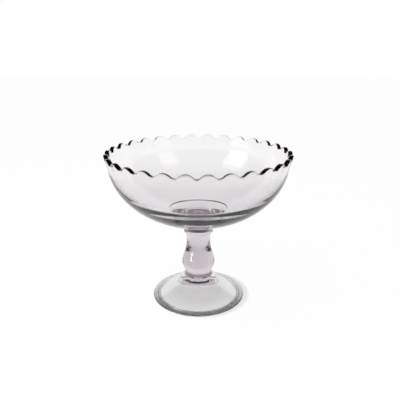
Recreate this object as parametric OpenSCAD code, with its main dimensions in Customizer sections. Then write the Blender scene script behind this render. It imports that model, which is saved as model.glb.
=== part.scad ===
// Footed glass compote: a scalloped bowl on a baluster stem and a domed, hollow foot.
// Five pieces of glass stand on one axis and are fused face to face:
// foot, foot collar, stem, bowl wafer and bowl.
// Millimetres, +Z up, origin at the centre of the ring that stands on the table.

/* [Foot] */
// Widest diameter of the foot
foot_d = 104.6; // [90:0.2:125]
// Height of the foot, from the table to the joint under the collar
foot_h = 20.6; // [16:0.2:26]
// Height of the rounded edge of the foot
foot_edge_h = 3.4; // [2.4:0.1:6]
// How far the standing ring sits in from the widest edge
foot_ring_inset = 1.4; // [0.8:0.1:4]
// Width of the flat ring that stands on the table
foot_ring_w = 5.4; // [3:0.1:9]
// Thickness of the glass between the top of the hollow and the collar
foot_wall = 3; // [2:0.1:8]
// Diameter of the rounded top of the hollow
hollow_top_d = 31; // [22:0.5:38]
// Height of that rounded top
hollow_top_h = 2.4; // [1.2:0.1:4]
// Height of the steep edge of the hollow
foot_step_h = 3; // [1.5:0.1:4]
// How far that steep edge leans in
foot_step_w = 2.2; // [0.8:0.1:5]

/* [Foot collar] */
// Widest diameter of the collar
collar_d = 40.8; // [37:0.2:50]
// Height of the collar, between its two joints
collar_h = 5; // [4:0.1:10]
// Height of the collar's widest line above its lower joint
collar_belly_z = 2; // [1.2:0.1:3.4]
// How far the collar is cut back under its widest line
collar_under = 1.1; // [0.5:0.1:4]
// Diameter of the fused joint between collar and stem
collar_joint_d = 29.6; // [28.6:0.2:36]

/* [Stem] */
// Height of the stem, between its two joints
stem_h = 52.7; // [46:0.1:80]
// Diameter of the narrow waist under the knop
waist_d = 28.4; // [24:0.2:29.4]
// Height of the waist above the lower joint
waist_z = 3.6; // [2:0.1:6]
// Widest diameter of the ball knop
knop_d = 37; // [32:0.2:44]
// Height of the knop's widest line above the lower joint
knop_z = 16.5; // [12:0.1:22]
// Diameter of the narrow neck above the knop
neck_d = 26.4; // [20:0.2:30]
// How far the neck lies below the upper joint
neck_drop = 9.8; // [8:0.2:16]
// Diameter of the fused joint between stem and wafer
stem_joint_d = 29.6; // [28.4:0.2:33.2]

/* [Bowl wafer] */
// Widest diameter of the wafer
wafer_d = 32.4; // [32.2:0.2:42]
// Thickness of the wafer
wafer_h = 2.7; // [2.5:0.1:6]
// Height of the wafer's widest line above its lower joint
wafer_edge_z = 1.7; // [1:0.1:2.2]
// Diameter of the fused joint between wafer and bowl
bowl_joint_d = 32.2; // [30:0.2:33.4]

/* [Bowl] */
// Diameter across the crests of the rim
rim_d = 200; // [180:1:240]
// Height of the bowl, from its joint to the crests
bowl_h = 89.5; // [78:0.5:120]
// Diameter at the shoulder, where the wall turns into the lip
shoulder_d = 192.8; // [170:0.2:198]
// Height of the lip, from the shoulder to the crests
lip_h = 15.2; // [10:0.2:24]
// Lean of the wall at the shoulder, in degrees from upright
shoulder_lean = 10; // [0:0.5:16]
// Flare of the lip at its edge, in degrees from upright
lip_flare = 14; // [4:0.5:26]
// Slope of the fillet where it leaves the joint, in degrees from level
fillet_slope = 66; // [50:1:80]
// Diameter where the fillet over the joint meets the wall
base_d = 64.4; // [54:0.2:76]
// Height of that line above the joint
base_rise = 11.9; // [7:0.1:13]
// Slope of the wall there, in degrees from level
base_slope = 20; // [12:0.5:28]
// How far the wall holds its slope as it leaves the base
wall_start = 19; // [10:0.5:28]
// How far the wall holds its lean as it nears the shoulder
wall_end = 41; // [28:0.5:50]
// Thickness of the wall at the base
base_wall = 6.2; // [4.5:0.1:9]
// Handle that thickens the wall in its lower half
belly_wall = 8.6; // [7:0.1:14]
// Handle that thins the wall in its upper half
upper_wall = 4.4; // [3:0.1:6]
// Thickness of the wall at the shoulder
shoulder_wall = 4; // [3:0.1:6]
// Thickness of the lip at its edge
lip_wall = 5; // [3:0.1:7]
// Diameter of the ring line inside, where the wall steps down to the floor
floor_ring_d = 68; // [62:0.2:84]
// How far the floor lies below the ring line
floor_step = 2.4; // [1.5:0.1:5]
// How far the step runs in to the level floor
floor_run = 1.6; // [1:0.1:4]

/* [Rim scallops] */
// Number of scallops round the rim
scallop_n = 30; // [20:1:36]
// Depth of the scallops, crest to valley
scallop_depth = 4.5; // [2.5:0.1:6]
// Length of the level top of each crest
crest_flat = 1.2; // [0.8:0.1:3]
// Share of each curve that belongs to the rounded crest
crest_share = 0.66; // [0.4:0.02:0.8]

/* [Hidden] */
$fn = 96;

// Colour of the glass: pale lilac grey, partly clear
glass = [0.84, 0.80, 0.85, 0.6];

// Heights of the fused joints
collar_z = foot_h;
stem_z = collar_z + collar_h;
wafer_z = stem_z + stem_h;
bowl_z = wafer_z + wafer_h;

// Radii that the outlines share
foot_r = foot_d / 2;
ring_r = foot_r - foot_ring_inset;
hollow_r = ring_r - foot_ring_w;
hollow_h = foot_h - foot_wall;
foot_joint_r = collar_d / 2 - collar_under;
rim_r = rim_d / 2;
shoulder_r = shoulder_d / 2;
shoulder_z = bowl_h - lip_h;
floor_ring_r = floor_ring_d / 2;

// Steps along a short and a long curve
short_steps = 5;
long_steps = 14;

// Spare length that carries a cut clear of the surface
over = 2;

// Point at parameter t of the curve from a to d that leaves towards b and arrives from c
function bend(a, b, c, d, t) =
    a * pow(1 - t, 3) + 3 * b * t * pow(1 - t, 2) + 3 * c * t * t * (1 - t) + d * pow(t, 3);

// Direction of the same curve at t
function heading(a, b, c, d, t) =
    (b - a) * pow(1 - t, 2) + 2 * (c - b) * t * (1 - t) + (d - c) * t * t;

// Points along that curve after its first one
function along(a, b, c, d, steps) = [for (i = [1:steps]) bend(a, b, c, d, i / steps)];

// Curve between two points where the outline runs upright at both ends
function swell(a, d, ease_a, ease_d, steps) =
    along(a, a + [0, (d[1] - a[1]) * ease_a], d - [0, (d[1] - a[1]) * ease_d], d, steps);

// Unit vector at an angle from level
function slope(angle) = [cos(angle), sin(angle)];

// Unit vector at an angle from upright, leaning outwards
function lean(angle) = [sin(angle), cos(angle)];

// A vector turned to the left and made one long
function left(v) = [-v[1], v[0]] / norm(v);

// Half outline of the foot: hollow underside, standing ring, rounded edge and dome
function foot_outline() =
    let (edge = [foot_r, foot_edge_h * 0.45])
    let (brow = [ring_r - foot_edge_h / 4, foot_edge_h])
    let (top = [foot_joint_r, foot_h])
    let (dome = top - brow)
    let (step = [hollow_r - foot_step_w, foot_step_h])
    let (crown = [hollow_top_d / 2, hollow_h - hollow_top_h])
    let (slant = step - crown)
    concat(
        [[0, hollow_h]],
        along([0, hollow_h], [crown[0] * 0.58, hollow_h], crown - slant * 0.13, crown, short_steps),
        along(crown, crown + slant * 0.31, step - slant * 0.33 + [0, hollow_top_h * 0.2], step, long_steps),
        along(step, step + [foot_step_w * 0.6, foot_step_h * -0.16], [hollow_r, foot_step_h / 2],
              [hollow_r, 0], short_steps),
        [[ring_r, 0]],
        along([ring_r, 0], [foot_r - foot_ring_inset * 0.4, 0], edge - [0, edge[1] * 0.6], edge, short_steps),
        along(edge, edge + [0, edge[1] * 0.6], brow + dome * -0.03, brow, short_steps),
        along(brow, brow + dome * 0.36 + [0, -0.05 * dome[1]], top - dome * 0.22 - [0, 0.14 * dome[1]],
              top, long_steps),
        [[0, foot_h]]
    );

// Half outline of the collar: undercut below, round shoulder above
function collar_outline() =
    let (low = [foot_joint_r, 0])
    let (belly = [collar_d / 2, collar_belly_z])
    let (high = [collar_joint_d / 2, collar_h])
    concat(
        [[0, 0], low],
        along(low, [belly[0] * 0.7 + low[0] * 0.3, 0], belly - [0, belly[1] * 0.5], belly, short_steps),
        along(belly, belly + [0, (high[1] - belly[1]) * 0.5], [belly[0] * 0.6 + high[0] * 0.4, high[1]],
              high, short_steps * 2),
        [[0, collar_h]]
    );

// Half outline of the stem: waist, ball knop, long neck and flare
function stem_outline() =
    let (low = [collar_joint_d / 2, 0])
    let (waist = [waist_d / 2, waist_z])
    let (knop = [knop_d / 2, knop_z])
    let (neck = [neck_d / 2, stem_h - neck_drop])
    let (high = [stem_joint_d / 2, stem_h])
    concat(
        [[0, 0], low],
        swell(low, waist, 0.28, 0.22, short_steps),
        swell(waist, knop, 0.33, 0.43, short_steps * 2),
        swell(knop, neck, 0.26, 0.44, long_steps),
        along(neck, neck + [0, neck_drop * 0.4], high - [(high - neck)[0] * 0.38, neck_drop * 0.2],
              high, short_steps * 2),
        [[0, stem_h]]
    );

// Half outline of the wafer: a thin disc with a round edge
function wafer_outline() =
    let (low = [stem_joint_d / 2, 0])
    let (belly = [wafer_d / 2, wafer_edge_z])
    let (high = [bowl_joint_d / 2, wafer_h])
    concat(
        [[0, 0], low],
        along(low, [belly[0] * 0.6 + low[0] * 0.4, 0], belly - [0, belly[1] * 0.5], belly, short_steps),
        swell(belly, high, 0.5, 0.3, short_steps),
        [[0, wafer_h]]
    );

// The four points that shape the outside of the bowl's wall, from base to shoulder
wall_a = [base_d / 2, base_rise];
wall_b = wall_a + wall_start * slope(base_slope);
wall_d = [shoulder_r, shoulder_z];
wall_c = wall_d - wall_end * lean(shoulder_lean);

// The two points that shape the lip, from shoulder to crest
lip_ease = lip_h * 0.26;
lip_b = wall_d + lip_ease * lean(shoulder_lean);
lip_c = [rim_r, bowl_h] - lip_ease * lean(lip_flare);

// Inside of the wall at t: the outside, moved inwards by a wall that swells low down and thins upwards
function inside(t) =
    bend(wall_a, wall_b, wall_c, wall_d, t)
    + left(heading(wall_a, wall_b, wall_c, wall_d, t))
    * bend(base_wall, belly_wall, upper_wall, shoulder_wall, t);

// Where along the wall its inside lies at a given radius, found by halving the stretch
function inside_at(r, low, high, turns) =
    let (mid = (low + high) / 2)
    turns == 0 ? mid :
    inside(mid)[0] < r ? inside_at(r, mid, high, turns - 1) : inside_at(r, low, mid, turns - 1);

// Half outline of the bowl before its rim is scalloped
function bowl_outline() =
    let (joint = [bowl_joint_d / 2, 0])
    let (shoulder_in = inside(1))
    let (edge_in = [rim_r - lip_wall, bowl_h])
    let (ring_t = inside_at(floor_ring_r, 0, 1, 20))
    let (ring = inside(ring_t))
    let (fall = left(left(heading(wall_a, wall_b, wall_c, wall_d, ring_t))))
    let (floor_z = ring[1] - floor_step)
    let (toe = [ring[0] - floor_run, floor_z])
    concat(
        [[0, 0], joint],
        along(joint, joint + base_rise * 0.42 * slope(fillet_slope),
              wall_a - base_rise * 0.76 * slope(base_slope), wall_a, short_steps),
        along(wall_a, wall_b, wall_c, wall_d, long_steps * 2),
        along(wall_d, lip_b, lip_c, [rim_r, bowl_h], short_steps),
        [edge_in],
        along(edge_in, edge_in - lip_ease * lean(shoulder_lean), shoulder_in + lip_ease * lean(shoulder_lean),
              shoulder_in, short_steps),
        [for (i = [1:long_steps * 2]) inside(1 - (1 - ring_t) * i / (long_steps * 2))],
        along(ring, ring + fall * floor_step * 0.6, toe + [floor_run * 0.6, 0], toe, short_steps),
        [[0, floor_z]]
    );

// Space over one valley of the rim: round crest, round valley and round crest again
module valley() {
    mid_r = rim_r - lip_wall / 2;
    half = mid_r * sin(180 / scallop_n) - crest_flat / 2;
    radii = (half * half + scallop_depth * scallop_depth) / (2 * scallop_depth);
    crest_r = radii * crest_share;
    valley_r = radii - crest_r;
    turn = asin(half / radii);
    steps = short_steps;
    falling = [for (i = [0:steps]) [-half + crest_r * sin(turn * i / steps),
                                    -crest_r * (1 - cos(turn * i / steps))]];
    rising = [for (i = [steps - 1:-1:0]) [-valley_r * sin(turn * i / steps),
                                          -scallop_depth + valley_r * (1 - cos(turn * i / steps))]];
    down = concat(falling, rising);
    up = [for (i = [len(down) - 2:-1:0]) [-down[i][0], down[i][1]]];
    reach = lip_wall + lip_h * tan(lip_flare) + 2 * over;
    translate([rim_r + over, 0, bowl_h])
        rotate([90, 0, -90])
            linear_extrude(height = reach)
                polygon(concat(down, up, [[half, over], [-half, over]]));
}

module foot() {
    color(glass)
        rotate_extrude()
            polygon(foot_outline());
}

module foot_collar() {
    color(glass)
        translate([0, 0, collar_z])
            rotate_extrude()
                polygon(collar_outline());
}

module stem() {
    color(glass)
        translate([0, 0, stem_z])
            rotate_extrude()
                polygon(stem_outline());
}

module bowl_wafer() {
    color(glass)
        translate([0, 0, wafer_z])
            rotate_extrude()
                polygon(wafer_outline());
}

module bowl() {
    color(glass)
        translate([0, 0, bowl_z])
            difference() {
                rotate_extrude()
                    polygon(bowl_outline());
                for (i = [0:scallop_n - 1])
                    rotate([0, 0, (i + 0.5) * 360 / scallop_n])
                        valley();
            }
}

foot();
foot_collar();
stem();
bowl_wafer();
bowl();
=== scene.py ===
# %% [markdown]
# # A footed glass compote
#
# This lesson dresses a glass compote: a wide bowl with a scalloped rim on a short baluster stem and a
# domed, hollow foot. The construction model already holds its five pieces, each as its own solid. Here
# every piece is modelled again with smooth curves and melted edges, because clear glass shows each facet
# twice: once where the light goes in and once where it comes out.

# %% Load the construction model
from math import atan2, cos, hypot, pi, radians, sin, tan

import bmesh
import bpy
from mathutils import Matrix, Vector


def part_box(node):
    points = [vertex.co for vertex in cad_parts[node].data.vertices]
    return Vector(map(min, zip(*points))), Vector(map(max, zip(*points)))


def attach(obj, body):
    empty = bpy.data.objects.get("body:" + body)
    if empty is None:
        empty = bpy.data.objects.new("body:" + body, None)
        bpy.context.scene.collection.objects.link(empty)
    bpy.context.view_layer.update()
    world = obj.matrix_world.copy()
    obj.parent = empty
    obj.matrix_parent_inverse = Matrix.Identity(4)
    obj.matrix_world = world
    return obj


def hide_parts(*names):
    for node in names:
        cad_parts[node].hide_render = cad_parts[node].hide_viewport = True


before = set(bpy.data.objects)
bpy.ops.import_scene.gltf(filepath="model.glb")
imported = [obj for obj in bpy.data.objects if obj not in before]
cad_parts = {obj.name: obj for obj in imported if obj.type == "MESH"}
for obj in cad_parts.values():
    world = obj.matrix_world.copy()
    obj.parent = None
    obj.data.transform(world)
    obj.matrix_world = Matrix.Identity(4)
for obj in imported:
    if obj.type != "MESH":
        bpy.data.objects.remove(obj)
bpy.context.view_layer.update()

mm = 0.001
print("pieces in the construction model:", sorted(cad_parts))

# %% [markdown]
# ## The camera
#
# The camera stands a little above the rim and looks down at the bowl, so the far wall shows through the
# mouth and the near wall shows the stem's joint through two layers of glass. A lens near 41 mm at half a
# metre gives the strong perspective of a close table-top picture. The camera is placed first, because
# every later choice is judged through it.

# %% Place the camera
def place_camera(distance, height, pitch, turn, lens, shift):
    """A camera at a distance and height from the table's centre that looks down by pitch degrees."""
    spot = (distance * sin(radians(turn)), -distance * cos(radians(turn)), height)
    bpy.ops.object.camera_add(location=spot, rotation=(radians(90 - pitch), 0, radians(turn)))
    camera = bpy.context.object
    camera.name = "camera"
    camera.data.sensor_width = 36
    camera.data.lens = lens
    camera.data.shift_x = shift
    bpy.context.scene.camera = camera
    return camera


camera = place_camera(distance=0.4785, height=0.2748, pitch=18.45, turn=0.84, lens=41.184, shift=0.0039)
print("camera at", [round(v, 4) for v in camera.location])

# %% [markdown]
# ## Drawing an outline
#
# Every piece is round about one upright axis, so each starts as half an outline: a chain of points from
# the axis out and back to the axis again. A curve between two end points, pulled by two handles, gives the
# swelling lines of pressed glass with few numbers. Sizes are written in millimetres, as a mould maker
# would, and turned into metres where the points are placed.

# %% Curves for outlines
def curve_point(a, b, c, d, t):
    """Point at t of the curve from a to d with handles b and c."""
    weights = ((1 - t) ** 3, 3 * t * (1 - t) ** 2, 3 * t * t * (1 - t), t ** 3)
    return tuple(sum(w * p[k] for w, p in zip(weights, (a, b, c, d))) for k in (0, 1))


def curve(a, b, c, d, steps):
    """Points along that curve, without its first point."""
    return [curve_point(a, b, c, d, i / steps) for i in range(1, steps + 1)]


def part_way(a, b, share):
    """Point at a share of the straight way from a to b, and before a if the share is under 0."""
    return tuple(p + (q - p) * share for p, q in zip(a, b))


def at_level(z, *radii):
    """Points at one level, at these distances from the axis."""
    return [(r, z) for r in radii]


print("halfway round a 10 mm corner:", curve_point((0, 0), (10, 0), (10, 0), (10, 10), 0.5))

# %% Measure the solids
def heights(node):
    """Lowest and highest level of a node of the construction model, in millimetres."""
    low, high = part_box(node)
    return low[2] / mm, high[2] / mm


def half_width(node):
    """Half the width of a node of the construction model, in millimetres."""
    low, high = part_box(node)
    return (high[0] - low[0]) / 2 / mm


levels = {node: heights(node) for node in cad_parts}
print("levels in mm:", {node: (round(a, 1), round(b, 1)) for node, (a, b) in levels.items()})

# %% [markdown]
# ## Turning an outline into a piece
#
# On a lathe the outline would be cut into a spinning blank. In Blender the Spin tool does the same: one
# vertex is extruded along the outline, point by point, and the chain is spun about the upright axis. Where
# the chain touches the axis, Spin leaves a fan of doubled points, so doubles are merged and the normals
# made consistent afterwards.

# %% Draw a chain of edges
def draw_chain(name, points, turn=0.0):
    """A new object whose mesh is a chain of edges along the outline, in the upright plane at an angle."""
    bpy.ops.object.select_all(action="DESELECT")
    bpy.ops.mesh.primitive_plane_add(size=mm)
    piece = bpy.context.object
    piece.name = piece.data.name = name
    placed = [Vector((r * cos(turn), r * sin(turn), z)) * mm for r, z in points]
    bpy.ops.object.mode_set(mode="EDIT")
    bpy.ops.mesh.select_all(action="SELECT")
    bpy.ops.mesh.merge(type="CENTER")
    bpy.ops.transform.translate(value=placed[0])
    for here, there in zip(placed, placed[1:]):
        bpy.ops.mesh.extrude_region_move(TRANSFORM_OT_translate={"value": there - here})
    return piece


# %% Spin the chain and close it
upright = {"center": (0, 0, 0), "axis": (0, 0, 1)}


def close_up(piece, weld=0.002, sharp=40):
    """Merge what Spin doubled, point all faces outwards, and leave edit mode with smooth shading."""
    bpy.ops.mesh.select_all(action="SELECT")
    bpy.ops.mesh.remove_doubles(threshold=weld * mm)
    bpy.ops.mesh.normals_make_consistent(inside=False)
    bpy.ops.object.mode_set(mode="OBJECT")
    bpy.ops.object.shade_smooth_by_angle(angle=radians(sharp))
    print(piece.name, "has", len(piece.data.polygons), "faces")


def turn_piece(name, points, steps=160):
    """A piece of glass turned from its outline."""
    piece = draw_chain(name, points)
    bpy.ops.mesh.select_all(action="SELECT")
    bpy.ops.mesh.spin(steps=steps, angle=2 * pi, **upright)
    close_up(piece)
    return piece


# %% [markdown]
# ## Fused joints
#
# The five pieces are fused while hot, so there is no air and no reflection between them, and light goes
# straight on from one into the next. Each piece here still closes with a flat disc at its joint. The discs
# are marked with a face attribute called fused, which the glass material reads later. Each lies a
# hundredth of a millimetre short of its joint, so that no two faces lie in the same place.

# %% Mark the fused discs
gap = 0.01


def mark_joints(piece, joint_levels, reach=0.05, flat=0.999):
    """Give every level face within reach of a joint level the value 1 in the attribute fused."""
    mesh = piece.data
    bpy.ops.object.select_all(action="DESELECT")
    piece.select_set(True)
    bpy.context.view_layer.objects.active = piece
    bpy.ops.geometry.attribute_add(name="fused", domain="FACE", data_type="FLOAT")
    bpy.ops.object.mode_set(mode="EDIT")
    bpy.ops.mesh.select_mode(type="FACE")
    bpy.ops.mesh.select_all(action="DESELECT")
    shape = bmesh.from_edit_mesh(mesh)
    found = 0
    for face in shape.faces:
        height = face.calc_center_median().z / mm
        near = any(abs(height - z) < reach for z in joint_levels)
        joint = near and abs(face.normal.z) > flat
        face.select_set(joint)
        found += joint
    bmesh.update_edit_mesh(mesh)
    mesh.attributes.active = mesh.attributes["fused"]
    bpy.ops.mesh.attribute_set(value_float=1.0)
    bpy.ops.mesh.select_mode(type="VERT")
    bpy.ops.object.mode_set(mode="OBJECT")
    print(piece.name, "has", found, "faces in its fused joints")


# %% [markdown]
# ## The foot
#
# The foot is a shallow dome, hollow underneath, that stands on a flat ring. The hollow has a steep edge
# just inside the ring, and that edge shows through the glass as a line a few millimetres in from the rim
# of the foot. The outline starts on the axis under the dome, goes out to the ring, round the edge and back
# up to the joint.

# %% Place the foot's corners
foot_r = half_width("foot")
foot_h = levels["foot"][1]
foot_joint_r = 19.3
ring_inset = 1.4
ring_width = 5.4
glass_over_hollow = 3
ring_r = foot_r - ring_inset
hollow_r = ring_r - ring_width
hollow_top = foot_h - glass_over_hollow
crown = (15.5, hollow_top - 2.4)
step = (hollow_r - 2.2, 3.0)
widest = (foot_r, 1.53)
brow = (ring_r - 0.85, 3.4)
dome = (foot_joint_r - brow[0], foot_h - brow[1])
print("standing ring from", round(hollow_r, 1), "to", round(ring_r, 1), "mm")

# %% Turn the foot
step_pull = part_way(step, crown, 0.33)
foot_outline = (
    at_level(hollow_top, 0)
    + curve((0, hollow_top), (9, hollow_top), part_way(crown, step, -0.13), crown, 12)
    + curve(crown, part_way(crown, step, 0.31), (step_pull[0], step_pull[1] + 0.48), step, 20)
    + curve(step, (step[0] + 1.3, step[1] - 0.5), (hollow_r, 1.5), (hollow_r, 0), 10)
    + at_level(0, hollow_r + ring_width / 3, hollow_r + ring_width * 2 / 3, ring_r)
    + curve((ring_r, 0), (foot_r - 0.56, 0), (foot_r, 0.6), widest, 8)
    + curve(widest, (foot_r, 2.45), (brow[0] + 0.98, brow[1] - 0.5), brow, 8)
    + curve(brow, (brow[0] + dome[0] * 0.36, brow[1] + dome[1] * 0.31),
            (foot_joint_r - dome[0] * 0.22, foot_h - dome[1] * 0.36), (foot_joint_r, foot_h - gap), 24)
    + at_level(foot_h - gap, 12, 6, 0)
)
foot = turn_piece("compote_foot", foot_outline)
mark_joints(foot, [foot_h])

# %% [markdown]
# ## The foot collar
#
# Between foot and stem sits a thick cushion of glass. Its widest line lies low and its underside is cut
# back sharply, which makes the black line under it in the finished picture: there the light turns back
# inside the glass and shows the dark of the room.

# %% Turn the collar
collar_low, collar_high = levels["foot_collar"]
collar_r = half_width("foot_collar")
collar_joint_r = 14.8
belly = (collar_r, collar_low + 2)
collar_outline = (
    at_level(collar_low + gap, 0, 6, 12, foot_joint_r)
    + curve((foot_joint_r, collar_low + gap), (20.1, collar_low + gap), (collar_r, belly[1] - 1), belly, 10)
    + curve(belly, (collar_r, belly[1] + 1.5), (18.2, collar_high - gap),
            (collar_joint_r, collar_high - gap), 16)
    + at_level(collar_high - gap, 10, 5, 0)
)
collar = turn_piece("compote_foot_collar", collar_outline)
mark_joints(collar, [collar_low, collar_high])

# %% [markdown]
# ## The stem
#
# The stem is a baluster: a waist, a ball knop, a long neck and a flare that meets the bowl. It is solid
# glass, so it works as a thick lens and turns the picture behind it upside down. Its swelling has to be
# smooth for that, and the outline gets many short steps.

# %% Turn the stem
stem_low, stem_high = levels["stem"]
knop_r = half_width("stem")
stem_joint_r = 14.8
waist = (14.2, stem_low + 3.6)
knop = (knop_r, stem_low + 16.5)
neck = (13.2, stem_high - 9.8)
stem_outline = (
    at_level(stem_low + gap, 0, 5, 10, collar_joint_r)
    + curve((collar_joint_r, stem_low + gap), (collar_joint_r, stem_low + 1), (waist[0], waist[1] - 0.8),
            waist, 8)
    + curve(waist, (waist[0], waist[1] + 4.25), (knop_r, knop[1] - 5.55), knop, 20)
    + curve(knop, (knop_r, knop[1] + 6.85), (neck[0], neck[1] - 11.6), neck, 30)
    + curve(neck, (neck[0], neck[1] + 3.9), (14.2, stem_high - 2), (stem_joint_r, stem_high - gap), 16)
    + at_level(stem_high - gap, 10, 5, 0)
)
stem = turn_piece("compote_stem", stem_outline)
mark_joints(stem, [stem_low, stem_high])

# %% [markdown]
# ## The bowl wafer
#
# A wafer is the flat disc of hot glass that joins a bowl to its stem. Only its rounded edge shows, as a
# thin ring under the bowl.

# %% Turn the wafer
wafer_low, wafer_high = levels["bowl_wafer"]
wafer_r = half_width("bowl_wafer")
bowl_joint_r = 16.1
edge = (wafer_r, wafer_low + 1.7)
wafer_outline = (
    at_level(wafer_low + gap, 0, 5, 10, stem_joint_r)
    + curve((stem_joint_r, wafer_low + gap), (15.6, wafer_low + gap), (wafer_r, edge[1] - 0.85), edge, 8)
    + curve(edge, (wafer_r, edge[1] + 0.5), (bowl_joint_r, wafer_high - 0.3),
            (bowl_joint_r, wafer_high - gap), 8)
    + at_level(wafer_high - gap, 11, 5, 0)
)
wafer = turn_piece("compote_bowl_wafer", wafer_outline)
mark_joints(wafer, [wafer_low, wafer_high])

# %% [markdown]
# ## The bowl's outline
#
# The wall of the bowl is thick at the base and thin at the shoulder. Its inside is therefore drawn as the
# outside moved inwards, by up to seven millimetres low down and by four at the shoulder. The lip swells to
# five again, and its two edges are rounded, as fire polishing leaves them. Low inside, the wall ends in a
# ring line and steps down to a level floor.

# %% Draw the wall
bowl_low, bowl_high = levels["bowl"]
rim_r = half_width("bowl")
base = (32.2, bowl_low + 11.9)
shoulder = (96.4, bowl_high - 15.2)
slope = radians(20)
lean = radians(10)
base_pull, shoulder_pull = 19, 41
wall = (
    base,
    (base[0] + base_pull * cos(slope), base[1] + base_pull * sin(slope)),
    (shoulder[0] - shoulder_pull * sin(lean), shoulder[1] - shoulder_pull * cos(lean)),
    shoulder,
)
base_wall, low_wall, upper_wall, shoulder_wall = 6.2, 8.6, 4.4, 4


def wall_thickness(t):
    """Thickness of the wall at t: a curve from the base to the shoulder, like the wall itself."""
    return curve_point((0, base_wall), (0.33, low_wall), (0.67, upper_wall), (1, shoulder_wall), t)[1]


print("wall in mm:", [round(wall_thickness(i / 4), 1) for i in range(5)])

# %% Draw the inside
def heading(a, b, c, d, t):
    """Unit direction at t of the curve from a to d with handles b and c."""
    weights = ((1 - t) ** 2, 2 * t * (1 - t), t * t)
    x, z = (sum(w * (q[k] - p[k]) for w, p, q in zip(weights, (a, b, c), (b, c, d))) for k in (0, 1))
    return x / hypot(x, z), z / hypot(x, z)


def wall_inside(t):
    """Point of the bowl's inside that faces the wall's outside at t."""
    point = curve_point(*wall, t)
    x, z = heading(*wall, t)
    thick = wall_thickness(t)
    return point[0] - z * thick, point[1] + x * thick


ring_t = 0.0718
inside_steps = 38
wall_in = [wall_inside(1 - (1 - ring_t) * i / inside_steps) for i in range(inside_steps + 1)]
print("inside of the wall from", [round(v, 1) for v in wall_in[0]], "to", [round(v, 1) for v in wall_in[-1]])

# %% Round the lip
lip_wall = 5
lip_pull = 4
flare = radians(14)
rounding = 1.1
crest = (rim_r - rounding * tan(flare), bowl_high - rounding)
crest_in = (rim_r - lip_wall - rounding * tan(lean), crest[1])


def lip_side(low, low_angle, high, high_angle):
    """One side of the lip, from the shoulder up to where its edge starts to round."""
    return curve(low, (low[0] + lip_pull * sin(low_angle), low[1] + lip_pull * cos(low_angle)),
                 (high[0] - lip_pull * sin(high_angle), high[1] - lip_pull * cos(high_angle)), high, 10)


def rounded(point, side):
    """A quarter round that rises from a point, to the side given by 1 or -1."""
    angles = [pi / 8 * k for k in (1, 2, 3, 4)]
    return [(point[0] + side * rounding * (1 - cos(a)), point[1] + rounding * sin(a)) for a in angles]


lip_out = lip_side(shoulder, lean, crest, flare) + rounded(crest, -1)
lip_in = lip_side(wall_inside(1), lean, crest_in, lean) + rounded(crest_in, 1)
print("lip from", round(crest_in[0], 1), "to", round(crest[0], 1), "mm out from the axis")

# %% Join the bowl's outline
ring = wall_inside(ring_t)
fall = heading(*wall, ring_t)
drop = 2.4
fall_pull = drop * 0.6
fillet_pull = 9.04
floor_z = ring[1] - drop
toe = (ring[0] - 1.6, floor_z)
foot_of_bowl = (bowl_joint_r, bowl_low + gap)
bowl_outline = (
    at_level(bowl_low + gap, 0, 5, 11, bowl_joint_r)
    + curve(foot_of_bowl, (bowl_joint_r + 2.03, bowl_low + 4.57),
            (base[0] - fillet_pull * cos(slope), base[1] - fillet_pull * sin(slope)), base, 10)
    + curve(*wall, 40)
    + lip_out
    + lip_in[::-1]
    + wall_in
    + curve(ring, (ring[0] - fall[0] * fall_pull, ring[1] - fall[1] * fall_pull), (toe[0] + 0.96, floor_z),
            toe, 10)
    + at_level(floor_z, 26, 18, 10, 4, 0)
)
print("outline of the bowl:", len(bowl_outline), "points, ring line at", [round(v, 1) for v in ring])

# %% [markdown]
# ## One scallop
#
# The rim has thirty scallops, so one of them is modelled and the rest are copies. The outline is spun
# through one thirtieth of a turn, which gives a slice of the bowl with a column of points every three
# quarters of a degree. Each column's lip then slides down along the wall by the depth of the scallop at
# that place: nothing at the crest, four and a half millimetres in the valley. A crest and a valley are two
# arcs that run smoothly into each other, and the crest takes about two thirds of the width.

# %% The curve of a scallop
scallops = 30
scallop_depth = 4.5
crest_share = 0.66
slice_angle = 2 * pi / scallops
pitch = slice_angle * (rim_r - lip_wall / 2)
both_radii = ((pitch / 2) ** 2 + scallop_depth ** 2) / (2 * scallop_depth)
crest_radius = crest_share * both_radii
valley_radius = both_radii - crest_radius


def scallop_drop(angle):
    """How far the rim lies below its crest, at an angle from the crest."""
    along = abs(angle) / slice_angle * pitch
    if along < pitch / 2 * crest_share:
        return crest_radius - (crest_radius ** 2 - along ** 2) ** 0.5
    rest = pitch / 2 - along
    return scallop_depth - valley_radius + (valley_radius ** 2 - rest ** 2) ** 0.5


print("scallops", round(pitch, 1), "mm wide, arcs of", round(crest_radius, 1), "and", round(valley_radius, 1))

# %% Spin one slice
columns = 16
bowl = draw_chain("compote_bowl", bowl_outline, turn=slice_angle / 2)
bpy.ops.mesh.select_all(action="SELECT")
bpy.ops.mesh.spin(steps=columns, angle=slice_angle, **upright)
shape = bmesh.from_edit_mesh(bowl.data)
print("slice of", len(shape.verts), "points")

# %% Slide its lip down
lip_start = 150
groups = {}
for vert in shape.verts:
    height = vert.co.z / mm
    if height > lip_start:
        column = round((atan2(vert.co.y, vert.co.x) / slice_angle + 0.5) * columns)
        share = round(min(1.0, (height - lip_start) / (crest[1] - lip_start)), 4)
        groups.setdefault((column, share), []).append(vert)
for (column, share), verts in groups.items():
    angle = (column / columns - 0.5) * slice_angle
    down = scallop_drop(angle) * share
    inwards = down * tan(flare)
    bpy.ops.mesh.select_all(action="DESELECT")
    for vert in verts:
        vert.select_set(True)
    bpy.ops.transform.translate(value=Vector((-inwards * cos(angle), -inwards * sin(angle), -down)) * mm)
print("slid", len(groups), "groups of points down the lip")

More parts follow.
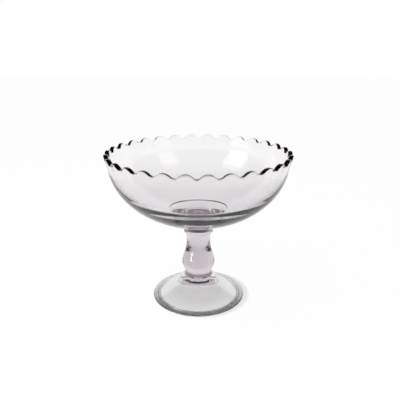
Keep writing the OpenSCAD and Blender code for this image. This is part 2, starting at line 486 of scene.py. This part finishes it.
# %% [markdown]
# ## Thirty slices
#
# Spin can also copy. Told to duplicate, it leaves the slice as it is and sets copies of it round the axis.
# Neighbours share their outer columns of points, so merging doubles turns thirty slices into one closed
# bowl.

# %% Set thirty slices round the axis
bpy.ops.mesh.select_all(action="SELECT")
bpy.ops.mesh.spin(steps=scallops - 1, dupli=True, angle=2 * pi - slice_angle, **upright)
close_up(bowl)
mark_joints(bowl, [bowl_low])

# %% [markdown]
# ## Shader sums
#
# Materials are built from nodes. A small class wraps a socket, so that a sum such as 1 - mask can be
# written as it is thought, and each operator adds its Math node. Every other node comes from one method
# that sets a node's settings first and then fills its sockets.

# %% A socket that does sums
class Wire:
    """An output socket in a node tree, with Python's operators."""

    def __init__(self, tree, socket=None):
        self.tree, self.socket = tree, socket

    def node(self, kind, settings=None, sockets=None, out=0):
        """One of the outputs of a new node in the same tree."""
        made = self.tree.nodes.new("ShaderNode" + kind)
        for key, value in (settings or {}).items():
            setattr(made, key, value)
        for key, value in (sockets or {}).items():
            if isinstance(value, Wire):
                self.tree.links.new(value.socket, made.inputs[key])
            else:
                made.inputs[key].default_value = value
        return Wire(self.tree, made.outputs[out] if made.outputs else None)

    def sum(self, operation, a, b=0.0):
        """The result of one Math node."""
        return self.node("Math", {"operation": operation}, {0: a, 1: b})

    def fade(self, start, stop):
        """A smooth change from 0 at start to 1 at stop."""
        return self.node("MapRange", {"interpolation_type": "SMOOTHSTEP"},
                         {"Value": self, "From Min": start, "From Max": stop})

    def __add__(self, other):
        return self.sum("ADD", self, other)

    __radd__ = __add__

    def __mul__(self, other):
        return self.sum("MULTIPLY", self, other)

    __rmul__ = __mul__

    def __sub__(self, other):
        return self.sum("SUBTRACT", self, other)

    def __rsub__(self, other):
        return self.sum("SUBTRACT", other, self)


def new_tree(owner):
    """An empty node tree on a material or the world."""
    owner.use_nodes = True
    owner.node_tree.nodes.clear()
    return Wire(owner.node_tree)


# %% [markdown]
# ## Lilac glass
#
# The glass is clear with a faint lilac-grey tint that deepens where it is thick, so the tint is an
# absorption in the volume and hardly a colour on the surface. The surface is fire polished but not flat:
# hot glass keeps a slow ripple, made by a weak bump, and low on the wall the mould left rings ten
# millimetres apart, a few hundredths of a millimetre high.

# %% Ripple and mould rings
glass = bpy.data.materials.new("lilac_glass")
tree = new_tree(glass)
place = tree.node("TexCoord", out="Object")
across, deep, height = (tree.node("SeparateXYZ", sockets={"Vector": place}, out=axis) for axis in "XYZ")
radius = tree.sum("SQRT", across * across + deep * deep)
ripple = tree.node("TexNoise", sockets={"Vector": place, "Scale": 38.0, "Detail": 1.5, "Roughness": 0.45})
ring_gap = 10 * mm
ring_start = 0.5
past_base = radius.fade(40 * mm, 50 * mm)
below_middle = height.fade(136 * mm, 129 * mm)
above_stem = height.fade(84 * mm, 86 * mm)
rings = tree.sum("SINE", radius * (2 * pi / ring_gap) + ring_start) * past_base * below_middle * above_stem
ripple_h, ring_h = 0.04, 0.04
bump = tree.node("Bump", sockets={
    "Strength": 1.0, "Distance": mm, "Height": ripple * ripple_h + rings * ring_h})
print("ripple and rings are", len(glass.node_tree.nodes), "nodes")

# %% [markdown]
# The standing ring is frosted by use, so the roughness rises there. Streaks in the tint, long and level,
# are so faint that they only keep the glass from looking too even. Where the attribute fused is 1, a
# refraction with an index of 1 takes over and light goes straight on.

# %% Wear and tint
frost, scuffing = 0.36, 0.06
standing_ring = height.fade(0.6 * mm, 0.0)
scuff = tree.node("TexNoise", sockets={"Vector": place, "Scale": 900.0, "Detail": 3.0})
rough = standing_ring * (frost + scuff * scuffing)
stretched = tree.node("Mapping", {"vector_type": "POINT"}, {"Vector": place, "Scale": (9.0, 9.0, 60.0)})
streaks = tree.node("TexNoise", sockets={"Vector": stretched, "Scale": 1.0, "Detail": 2.0})
pale_lilac = (0.985, 0.98, 0.985, 1)
white = (1, 1, 1, 1)
tint = tree.node("Mix", {"data_type": "RGBA"}, {"Factor": streaks, 6: pale_lilac, 7: white}, out=2)
print("wear and tint bring them to", len(glass.node_tree.nodes))

# %% Put the glass together
lilac_grey = (0.80, 0.745, 0.785, 1)
clear = tree.node("BsdfPrincipled", sockets={
    "Base Color": tint, "Roughness": rough, "IOR": 1.5, "Transmission Weight": 1.0, "Normal": bump})
through = tree.node("BsdfRefraction", sockets={"Color": white, "Roughness": 0.0, "IOR": 1.0})
fused = tree.node("Attribute", {"attribute_name": "fused"}, out="Fac")
surface = tree.node("MixShader", sockets={0: fused, 1: clear, 2: through})
tone = tree.node("VolumeAbsorption", sockets={"Color": lilac_grey, "Density": 50.0})
tree.node("OutputMaterial", sockets={"Surface": surface, "Volume": tone})
print("glass made of", len(glass.node_tree.nodes), "nodes")

# %% [markdown]
# ## Pieces in place of solids
#
# Each finished piece gets the glass and takes the place of one solid of the construction model. All five
# ride on the same body, because nothing on a compote moves.

# %% Put the pieces on the model
stands_for = {"foot": foot, "foot_collar": collar, "stem": stem, "bowl_wafer": wafer, "bowl": bowl}
for node, piece in stands_for.items():
    piece.data.materials.clear()
    piece.data.materials.append(glass)
    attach(piece, "root")
    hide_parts(node)
    print(piece.name, "stands for", node)

# %% [markdown]
# ## The floor
#
# Glass has almost no colour of its own: it shows its surroundings. A pale floor and a white backdrop make
# it bright, and a dark room overhead gives it the dark lines along its edges. The floor is a plain diffuse
# white that keeps the object's shadow, with some white added where the camera and the glass look at it.

# %% Lay the floor
floor_size = 8
floor_drop = 0.2 * mm
bpy.ops.object.select_all(action="DESELECT")
bpy.ops.mesh.primitive_plane_add(size=floor_size, location=(0, 0, -floor_drop))
floor = bpy.context.object
floor.name = floor.data.name = "floor"
print("floor laid,", floor_size, "m wide")

# %% [markdown]
# For the camera, least white is added close to the foot and to its right, away from the lamp above. This is
# a painted shadow, narrow and darkest there, laid over the lamp's real shadow in the diffuse part. Through
# the glass the floor is painted a little grey close by and white further off, which shades the bowl's wall
# from top to bottom. Under the foot's dome a painted stem shadow makes it darker below the stem and painted
# light makes it lighter further out. A painted contact shadow makes it darkest in a thin ring where the
# hollow meets it, standing in for the little light that gets into that corner.

# %% Measure the way from the foot
paper = bpy.data.materials.new("white_paper")
tree = new_tree(paper)
place = tree.node("TexCoord", out="Object")
away = tree.node("VectorMath", {"operation": "LENGTH"}, {0: place}, out="Value")
# The painted shadow is centred a little right of the axis, away from the lamp above.
painted_shadow_centre = (4 * mm, 1.5 * mm, 0)
thrown = tree.node("VectorMath", {"operation": "DISTANCE"}, {0: place, 1: painted_shadow_centre}, out="Value")
hollow_edge = hollow_r * mm
in_hollow = away.fade(hollow_edge, hollow_edge - 3 * mm)
# Painted contact shadow: a thin dark ring on the floor where the hollow's edge meets it.
contact_shadow = away.fade(hollow_edge - 3 * mm, hollow_edge - 1 * mm) * away.fade(hollow_edge + 2 * mm, hollow_edge)
clear_of_shadow = thrown.fade((foot_r - 1) * mm, (foot_r + 5) * mm)
print("the hollow's edge stands", round(hollow_r, 1), "mm from the axis")

# %% Shade the floor
# Painted shadow for the camera: less white is added by the foot and more in the open.
shadow_white, open_white = 0.7, 0.98
close_white, far_white = 0.64, 1
stem_shadow, dome_light, contact_shadow_depth = 0.05, 0.13, 0.75
past_shadow = shadow_white + clear_of_shadow * (open_white - shadow_white)
# Painted stem shadow and painted light under the dome: darker below the stem, lighter further out.
dome_light_and_shade = (away.fade(18 * mm, 40 * mm) * dome_light - stem_shadow) * in_hollow
# Painted shade: through the glass the floor is grey close to the object and white further off.
further_off = away.fade(0.2, 0.65) * (far_white - close_white)
shaded_through_glass = (close_white + dome_light_and_shade + further_off) * (1 - contact_shadow * contact_shadow_depth)
seen = tree.node("LightPath", out="Is Camera Ray")
mirrored = tree.node("LightPath", out="Is Glossy Ray")
passed = tree.node("LightPath", out="Is Transmission Ray")
added = seen * past_shadow + tree.sum("MAXIMUM", mirrored, passed) * shaded_through_glass
lit = tree.node("BsdfDiffuse", sockets={"Color": (0.9, 0.9, 0.9, 1)})
glow = tree.node("Emission", sockets={"Color": white, "Strength": 1.0})
surface = tree.node("MixShader", sockets={0: added, 1: lit, 2: glow})
tree.node("OutputMaterial", sockets={"Surface": surface})
floor.data.materials.append(paper)
print("floor shaded with", len(paper.node_tree.nodes), "nodes")

# %% [markdown]
# ## Backdrop and lamps
#
# The backdrop is the world's white: it stands low all round and rises behind the object. The rest of the
# room is nearly black in the glass, though the camera itself sees white everywhere.

# %% Hang the backdrop
room_white = 0.06
rise_behind = 0.4
world = bpy.data.worlds.new("studio")
bpy.context.scene.world = world
tree = new_tree(world)
seen = tree.node("LightPath", out="Is Camera Ray")
way = tree.node("TexCoord", out="Generated")
back, up = (tree.node("SeparateXYZ", sockets={"Vector": way}, out=axis) for axis in "YZ")
backdrop = (up - back.fade(0.2, 0.8) * rise_behind).fade(0.3, 0.1)
shade = tree.sum("MAXIMUM", room_white + backdrop * (1 - room_white), seen)
background = tree.node("Background", sockets={"Color": shade, "Strength": 1.0})
tree.node("OutputWorld", sockets={"Surface": background})
bpy.context.scene.view_settings.view_transform = "Standard"
print("world made of", len(world.node_tree.nodes), "nodes")

# %% [markdown]
# Two softboxes face the bowl, and its far wall mirrors them as two pale squares, the left lamp on the
# right and the right lamp on the left. A small strip of light, low on the left, makes the highlight on the
# knop. A large lamp from above lights the floor and gives the soft shadow. It is kept out of the glass,
# because its mirror image would fill the bowl.

# %% Light the room
def softbox(name, spot, target, size, power, colour=(1, 1, 1)):
    """A rectangular lamp at a spot, facing a target."""
    bpy.ops.object.light_add(type="AREA", location=spot)
    lamp = bpy.context.object
    lamp.name = name
    lamp.rotation_euler = (Vector(target) - Vector(spot)).to_track_quat("-Z", "Y").to_euler()
    lamp.data.shape = "RECTANGLE"
    lamp.data.size, lamp.data.size_y = size
    lamp.data.energy = power
    lamp.data.color = colour
    return lamp


far_wall = (0, 0.08, 0.145)
knop_side = (0, 0, 0.06)
table = (0, 0, 0)
warm_white = (1.0, 0.96, 0.9)
softbox("left_softbox", (-0.73, -0.355, 0.60), far_wall, size=(0.5, 0.6), power=1.9)
softbox("low_strip", (-0.81, -0.58, 0.10), knop_side, size=(0.3, 0.09), power=0.85)
softbox("right_softbox", (0.626, -0.478, 0.644), far_wall, size=(0.38, 0.55), power=0.72, colour=warm_white)
top = softbox("top_softbox", (-0.35, -0.25, 1.1), table, size=(1.0, 1.0), power=9.0)
top.visible_glossy = top.visible_transmission = False
